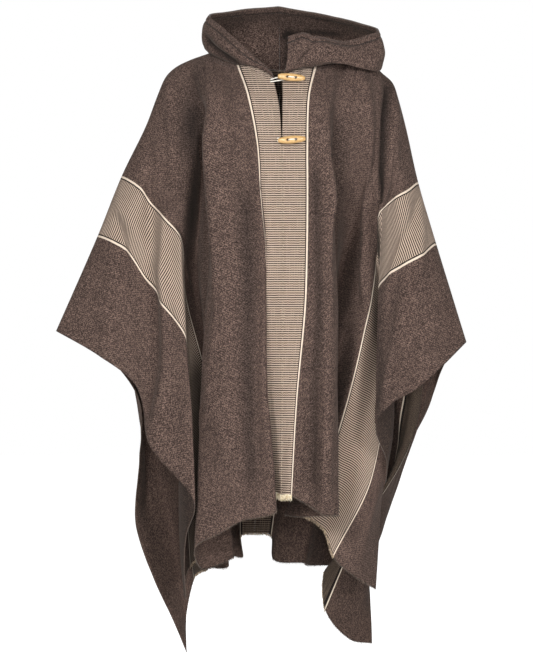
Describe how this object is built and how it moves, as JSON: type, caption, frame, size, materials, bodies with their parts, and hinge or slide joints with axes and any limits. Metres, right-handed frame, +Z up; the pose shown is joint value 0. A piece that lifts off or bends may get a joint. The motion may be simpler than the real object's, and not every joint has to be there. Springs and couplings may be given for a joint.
{
  "type": "hooded poncho",
  "caption": "Hooded woven poncho of two halves with a front neck slit, toggles and loops, striped bands and fringed hems, hollow as worn.",
  "frame": {"origin": "base of the neck, between the shoulders that carry the cloth, in the plane of the arms", "axes": "+Z up, the garment's front faces -Y, +X to the wearer's left"},
  "size_m": [0.821, 0.3753, 1.305],
  "materials": {
    "cloth": "handwoven marled wool with warp-striped bands",
    "hood": "handwoven marled wool, plain",
    "toggle": "smooth pale wood, waxed",
    "cord": "twisted cotton cord",
    "fringe": "frayed wool warp ends"
  },
  "bodies": {
    "root": {"body_right_half": "cloth", "body_left_half": "cloth", "hood_right": "hood", "hood_left": "hood", "toggle_upper": "toggle", "toggle_lower": "toggle", "stitch_upper": "cord", "stitch_lower": "cord", "loop_upper": "cord", "loop_lower": "cord", "fringe_front_centre_right": "fringe", "fringe_front_centre_left": "fringe", "fringe_back_centre_right": "fringe", "fringe_back_centre_left": "fringe", "fringe_front_right": "fringe", "fringe_front_left": "fringe", "fringe_back_right": "fringe", "fringe_back_left": "fringe"}
  },
  "joints": []
}
